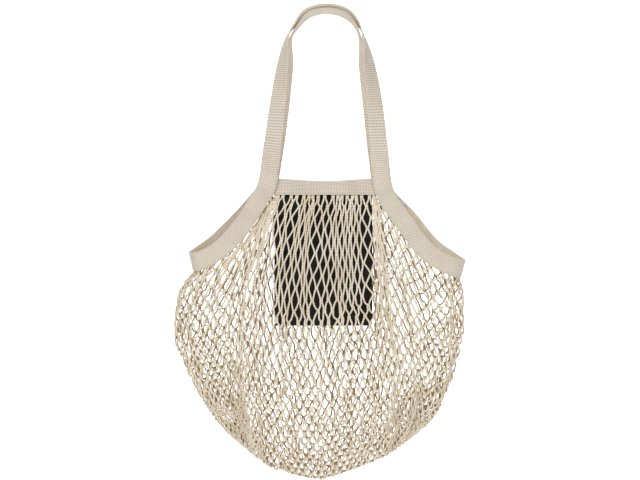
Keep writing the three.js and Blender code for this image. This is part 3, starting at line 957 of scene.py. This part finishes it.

# %% [markdown]
# The yarn is soft two-ply cotton. Its finish reads the tube's UVs: stripes that climb round
# it while they run along it look like the twist, with painted shade in the hollows between
# them, and fine noise makes it woolly. The first UV also says which side of the yarn faces
# into the bag. That side gets a browner tone: painted shade, for the light that doesn't
# reach the inside of the net.


# %% Cotton yarn
def yarn_finish():
    finish = Finish("cotton_yarn", Roughness=0.95, Sheen_Weight=0.25)
    u, v = finish.cloth_place()
    twist = (u + v / (4.2 * mm)).wave().size()
    fuzz = finish.noise(2600.0, 2.0)
    cloudy = finish.noise(30.0, 3.0)
    plain = finish.blend(cloudy.rise(0.3, 0.7), colour(241, 231, 212), colour(229, 216, 192))
    # the side of each yarn that faces into the bag is painted browner: painted shade
    inner_shade_share = (0.5 - 0.5 * (u * 2).wave()).rise(0.3, 0.8)
    shaded = finish.blend(inner_shade_share * 0.8, plain, colour(184, 160, 120))
    # painted shade, darker in the hollows between the plies of the twist
    twist_groove_shade = 1 - twist.rise(0.0, 0.5)
    twisted = finish.blend(twist_groove_shade * 0.5, shaded, colour(160, 134, 96))
    finish.paint(twisted)
    finish.relief(twist * 0.7 + fuzz * 0.3, 0.25 * mm, 0.6)
    return finish.material


yarn = yarn_finish()
for piece, node in net_yarns:
    dress(piece, yarn, node)
print("yarn nodes:", len(yarn.node_tree.nodes))

# %% [markdown]
# Behind the tape a cord catches the upper ends of the yarns on each face, and at the bottom
# another cord closes the front to the back, with a small knot where each pair of yarns ends.
# They are tubes too.

# %% Hem cords, bottom cord and knots
cord_radius = 1.1 * mm
knot_radius, knot_yarn_radius, knot_points = 1.5 * mm, 0.7 * mm, 10


def facing_of(paths, direction):
    return np.broadcast_to(np.array(direction, float), paths.shape)


s_even = np.linspace(-1, 1, 320)
hem_paths = np.stack([hem(s_even, face, -hem_tuck) for face in (-1, 1)])
hem_cords = yarn_tubes("hem_cords", hem_paths, facing_of(hem_paths, (0, 1, 0)), cord_radius)
dress(hem_cords, yarn)

bottom = knits[: columns + 1, rows]
bottom_cord = yarn_tubes(
    "bottom_cord", bottom[None], facing_of(bottom[None], (0, -1, 0)), cord_radius
)
dress(bottom_cord, yarn)

turn = np.linspace(0, 2 * math.pi, knot_points)[None, :, None]
ahead = unit(np.gradient(bottom, axis=0))
sideways = unit(np.cross(ahead, (0, 1, 0)))[:, None]
onwards = np.cross(ahead[:, None], sideways)
knot_paths = bottom[:, None] + knot_radius * (sideways * np.cos(turn) + onwards * np.sin(turn))
knot_facings = np.repeat(ahead[:, None], knot_points, axis=1)
knots = yarn_tubes("bottom_knots", knot_paths, knot_facings, knot_yarn_radius, sides=6)
dress(knots, yarn)

# %% [markdown]
# ## Stitches
#
# The tape binds the net with a row of stitches near its edge, and the bands' ends are sewn
# under it with a small box. Each stitch is a short arch that dives into the cloth at both
# ends. A line of stitches needs only the line it follows and the way out of the cloth.

# %% Stitches
thread_radius = 0.32 * mm
stitch_pitch = 3 * mm
stitch_length = 2.4 * mm
stitch_arch = ((-0.5, -0.3), (-0.32, 0.12), (0.32, 0.12), (0.5, -0.3))  # share of length, mm out
seam_inset = 2 * mm
tape_edge = tape_width / 2 - seam_inset
side_runs = ((-34, 34), (110, 178))  # rectangles of the loop that bind the side mouths
run_ends = ((29, 34), (-34, -29), (110, 115), (173, 178))  # where the bands' ends are sewn in


def stitch_arches(line, out):
    run = run_along(line)
    count = int(run[-1] / stitch_pitch)
    middles = (np.arange(count) + 0.5) * run[-1] / count
    arch = []
    for share, lift in stitch_arch:
        at = middles + share * stitch_length
        arch.append(read_rows(line, run, at) + unit(read_rows(out, run, at)) * lift * mm)
    facing = unit(read_rows(out, run, middles))
    return np.stack(arch, axis=1), np.repeat(facing[:, None], len(arch), axis=1)


def sew(name, lines, thread):
    arches, outs = zip(*[stitch_arches(line, out) for line, out in lines])
    arches, outs = np.concatenate(arches), np.concatenate(outs)
    piece = yarn_tubes(name, arches, outs, thread_radius, sides=5)
    print(name, "stitches:", len(arches))
    dress(piece, thread)


def along_strap(strap, looped, low, high, across_by, side):
    centre, across, out = strap_at(strap, np.linspace(low, high, 300), looped)
    return centre + across * across_by + out * side * tape_thickness / 2, out * side


def across_tape(at, side):
    centre, across, out = strap_at(tape, np.full(30, float(at)), True)
    by = np.linspace(-tape_edge, tape_edge, 30)[:, None]
    return centre + across * by + out * side * tape_thickness / 2, out * side


seams = []
for side in (-1, 1):
    for low, high in side_runs:
        seams.append(along_strap(tape, True, low, high, tape_edge, side))
    for low, high in run_ends:
        seams.append(along_strap(tape, True, low, high, -tape_edge, side))
        seams += [across_tape(at, side) for at in (low, high)]
    for strap in bands.values():
        last = len(strap["middle"]) - 1
        seams.append(along_strap(strap, False, 0, last, band_width / 2 - seam_inset, side))


def thread_finish(name, light, dark):
    finish = Finish(name, Roughness=0.8, Sheen_Weight=0.1)
    u, v = finish.cloth_place()
    twist = (u * 2 + v / (0.9 * mm)).wave().size()
    # the twist's hollows get the darker tone: painted shade
    tone = finish.blend(twist.rise(0.1, 0.8), dark, light)
    finish.paint(tone)
    finish.relief(twist, 0.08 * mm, 0.6)
    return finish.material


cotton_thread = thread_finish("cotton_thread", colour(234, 225, 209), colour(201, 184, 158))
sew("strap_stitches", seams, cotton_thread)

# %% [markdown]
# ## The pouch
#
# The pouch is one long piece of black cloth, folded at the bottom and sewn shut round the
# other sides, with a slit for the zip in its back. It starts flat, as cut, and every point is
# carried to its place: a flat seam at the edge, a slope, then the full thickness with shallow
# creases. Folding is enough here, so no cloth simulation runs.

# %% Pouch cloth
pouch_seam = 4 * mm
pouch_slope = 4 * mm
pouch_corner = 3 * mm
pouch_yarns = (220, 620)  # across and along, one every 0.6 mm
seam_half = 0.95 * mm  # half the thickness of the sewn edge
cloth_wall = 0.9 * mm
slit_length, slit_width = 100 * mm, 8 * mm
pouch_centre = (pouch_low[0] + pouch_high[0]) / 2
pouch_middle = (pouch_low[1] + pouch_high[1]) / 2
pouch_half = (pouch_high[1] - pouch_low[1]) / 2
zip_low, zip_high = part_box("zip_tape")
zip_line = (zip_low[2] + zip_high[2]) / 2
crease_length, crease_depth = 34 * mm, 0.4
crease_ways = seeds.uniform(-1, 1, (6, 4))
flat_by_zip = (9 * mm, 22 * mm)  # no creases this near the zip, and full ones this far away


def creases(x, z, side):
    """Shallow creases, 0 to 1, that fade out beside the zip."""
    wave = 0
    for slope_x, slope_z, start, turned in crease_ways:
        reach = 2 * math.pi / crease_length
        phase = 6 * start + side * turned
        wave = wave + np.sin(reach * (x * slope_x + z * slope_z * 1.6) + phase)
    fade = np.where(side > 0, smooth(*flat_by_zip, np.abs(z - zip_line)), 1)
    return (0.5 + wave / 7) * fade


def pouch_place(u, v):
    down, side = 1 - np.abs(2 * v - 1), np.where(v < 0.5, -1, 1)
    x = mix(pouch_low[0], pouch_high[0], u)
    z = mix(pouch_high[2], pouch_low[2], down)
    from_side = np.minimum(x - pouch_low[0], pouch_high[0] - x)
    from_end = np.minimum(pouch_high[2] - z, z - pouch_low[2])
    edge = np.maximum(np.minimum(from_side, from_end), 0)
    edge_half = seam_half * np.sqrt(np.clip(edge / (2 * mm), 0, 1))
    swell = smooth(pouch_seam, pouch_seam + pouch_slope, edge)
    rise = (pouch_half - seam_half) * swell * (1 - crease_depth * creases(x, z, side))

    short = np.stack([pouch_corner - from_side, pouch_corner - from_end])
    in_corner = (short > 0).all(axis=0)
    pull = np.where(in_corner, short.max(axis=0) / np.maximum(np.hypot(*short), 1e-9), 1)
    x = x + np.where(in_corner, np.sign(pouch_centre - x) * short[0] * (1 - pull), 0)
    middle_z = (pouch_low[2] + pouch_high[2]) / 2
    z = z + np.where(in_corner, np.sign(middle_z - z) * short[1] * (1 - pull), 0)
    y = pouch_middle + side * (edge_half + rise)
    return np.stack([x, y, z], axis=1), np.stack([u, v], axis=1)


pouch_shape = carried_grid(66, 184, pouch_place, pouch_yarns)
bmesh.ops.remove_doubles(pouch_shape, verts=pouch_shape.verts, dist=1e-5)
slit = []
for face in pouch_shape.faces:
    x, y, z = face.calc_center_median()
    in_slit = abs(x - pouch_centre) < slit_length / 2 and abs(z - zip_line) < slit_width / 2
    if y > pouch_middle and in_slit:
        slit.append(face)
bmesh.ops.delete(pouch_shape, geom=slit, context="FACES")
bmesh.ops.recalc_face_normals(pouch_shape, faces=pouch_shape.faces)
pouch_cloth = as_object("pouch_cloth", pouch_shape)
wall = pouch_cloth.modifiers.new("wall", "SOLIDIFY")
wall.thickness = cloth_wall
wall.offset = -1
print("faces cut away for the zip:", len(slit))

# %% [markdown]
# The cloth is a fine plain weave, nearly black, with a little lint. Its UVs count its yarns as
# the webbing's do, so the same weave serves, only finer and flatter. The seams are sewn
# through it in black thread.


# %% Black cloth
def black_cloth_finish():
    finish = Finish("black_cloth", Roughness=0.88, Sheen_Weight=0.12)
    u, v = finish.cloth_place()
    height = weave(u, v)
    cloudy = finish.noise(26.0, 3.0)
    lint = finish.noise(700.0, 1.0).rise(0.72, 0.8)
    plain = finish.blend(cloudy.rise(0.3, 0.7), colour(19, 16, 16), colour(28, 25, 25))
    linted = finish.blend(lint * 0.25, plain, colour(86, 82, 80))
    # the low places between the yarns are darkened nearly to black: painted shade
    woven = finish.blend((1 - height.rise(0.1, 0.5)) * 0.6, linted, colour(7, 6, 6))
    finish.paint(woven)
    finish.relief(height, 0.12 * mm, 0.7)
    return finish.material


dress(pouch_cloth, black_cloth_finish(), "pouch")


def pouch_seam_line(side):
    left, right = pouch_low[0] + pouch_seam, pouch_high[0] - pouch_seam
    low, high = pouch_low[2] + pouch_seam, pouch_high[2] - pouch_seam
    y = pouch_middle + side * seam_half
    corners = [(left, high), (left, low), (right, low), (right, high), (left, high)]
    line = np.array([(x, y, z) for x, z in corners])
    return line, facing_of(line, (0, side, 0))


def zip_seam_line(side, offset=6 * mm, past=1 * mm):
    ends = (pouch_centre - slit_length / 2 - past, pouch_centre + slit_length / 2 + past)
    line = np.array([(x, pouch_high[1], zip_line + side * offset) for x in ends])
    return line, facing_of(line, (0, 1, 0))


black_seams = [pouch_seam_line(side) for side in (-1, 1)]
black_seams += [zip_seam_line(side) for side in (-1, 1)]
black_thread = thread_finish("black_thread", colour(52, 50, 52), colour(22, 20, 21))
sew("pouch_stitches", black_seams, black_thread)

# %% [markdown]
# ## The zip
#
# Two narrow tapes lie behind the slit, and along their inner edges run two nylon coils whose
# turns fit between each other. A coil is only a squashed helix, so it is a tube once more.

# %% Zip tapes and coils
coil_length = 98 * mm
coil_turns = 74
coil_wire = 0.27 * mm
coil_room = 1.4 * mm  # how far the coils stand out from their tapes
coil_depth, coil_reach = 0.43 * mm, 1.17 * mm  # half a turn's depth and half its width
coil_offset = 1.05 * mm  # from the zip's middle line to the middle of each coil
tape_gap = 0.1 * mm  # from that line to each tape
zip_face = zip_high[1] - coil_room


def rounded_block(name, low, high, radius):
    block = bmesh.new()
    bmesh.ops.create_cube(block, size=1)
    low, high = Vector(low), Vector(high)
    size = Matrix.Diagonal((*(high - low), 1))
    place = Matrix.Translation((low + high) / 2) @ size
    bmesh.ops.transform(block, verts=block.verts, matrix=place)
    round_edges(block, block.edges, radius, segments=3)
    return as_object(name, block)


def zip_finish(name, threads):
    finish = Finish(name, Roughness=0.6)
    where = finish.place()
    x, z = [finish.node("ShaderNodeSeparateXYZ", None, [where], output=i) for i in (0, 2)]
    rib = (x / threads).wave().size() * (0.6 + 0.4 * (z / threads).wave().size())
    # the rib's low places get the darker tone: painted shade between the ribs
    tone = finish.blend(rib.rise(0.1, 0.9), colour(17, 16, 17), colour(41, 40, 42))
    finish.paint(tone)
    finish.relief(rib, 0.08 * mm, 0.6)
    return finish.material


tape_cloth = zip_finish("zip_tape_cloth", 0.6 * mm)
for name, low_z, high_z in [
    ("zip_tape_lower", zip_low[2], zip_line - tape_gap),
    ("zip_tape_upper", zip_line + tape_gap, zip_high[2]),
]:
    low, high = (zip_low[0], zip_low[1], low_z), (zip_high[0], zip_face, high_z)
    dress(rounded_block(name, low, high, 0.3 * mm), tape_cloth, "zip_tape")

angle = np.linspace(0, 2 * math.pi * coil_turns, 10 * coil_turns + 1)
coil_paths = np.stack(
    [
        np.stack(
            [
                pouch_centre - coil_length / 2 + coil_length * angle / angle[-1] + shift,
                zip_face + coil_room / 2 + coil_depth * np.sin(angle),
                zip_line + row * (coil_offset + coil_reach * np.cos(angle)),
            ],
            axis=1,
        )
        for row, shift in ((-1, 0), (1, coil_length / coil_turns / 2))
    ]
)
coils = yarn_tubes("zip_coils", coil_paths, facing_of(coil_paths, (1, 0, 0)), coil_wire, sides=6)
dress(coils, zip_finish("zip_coil_nylon", 1.3 * mm), "zip_tape")

# %% [markdown]
# The slider and its puller are hard, and the frame has their true shape. A merged copy with
# rounded edges is all they need, in black enamel that is worn to grey in a few spots.


# %% Slider and puller
def rounded_copy(name, node, radius):
    """A merged copy of a hard piece of the frame, with its sharp edges rounded."""
    copy = bmesh.new()
    copy.from_mesh(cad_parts[node].data)
    bmesh.ops.remove_doubles(copy, verts=copy.verts, dist=1e-6)
    flat = math.radians(2)
    bmesh.ops.dissolve_limit(copy, angle_limit=flat, verts=copy.verts, edges=copy.edges)
    sharp = [e for e in copy.edges if e.calc_face_angle(0) > math.radians(40)]
    round_edges(copy, sharp, radius, segments=2, clamp=True)
    bmesh.ops.recalc_face_normals(copy, faces=copy.faces)
    print(name, "edges rounded:", len(sharp))
    return as_object(name, copy)


def metal_finish():
    finish = Finish("black_enamel_metal", Metallic=0.55, Coat_Weight=0.2)
    cloudy, worn = finish.noise(160.0, 3.0), finish.noise(900.0, 2.0).rise(0.66, 0.74)
    tone = finish.blend(cloudy, colour(24, 24, 26), colour(38, 38, 41))
    worn_tone = finish.blend(worn * 0.4, tone, colour(104, 102, 100))
    finish.paint(worn_tone)
    finish.give(finish.shader.inputs["Roughness"], 0.3 + 0.2 * cloudy)
    finish.relief(cloudy, 0.03 * mm, 0.4)
    return finish.material


metal = metal_finish()
edge_radius = 0.14 * mm
for name, node, body in [
    ("rounded_slider", "zip_slider", "bag"),
    ("rounded_puller", "zip_puller", "puller"),
]:
    dress(rounded_copy(name, node, edge_radius), metal, node, body)
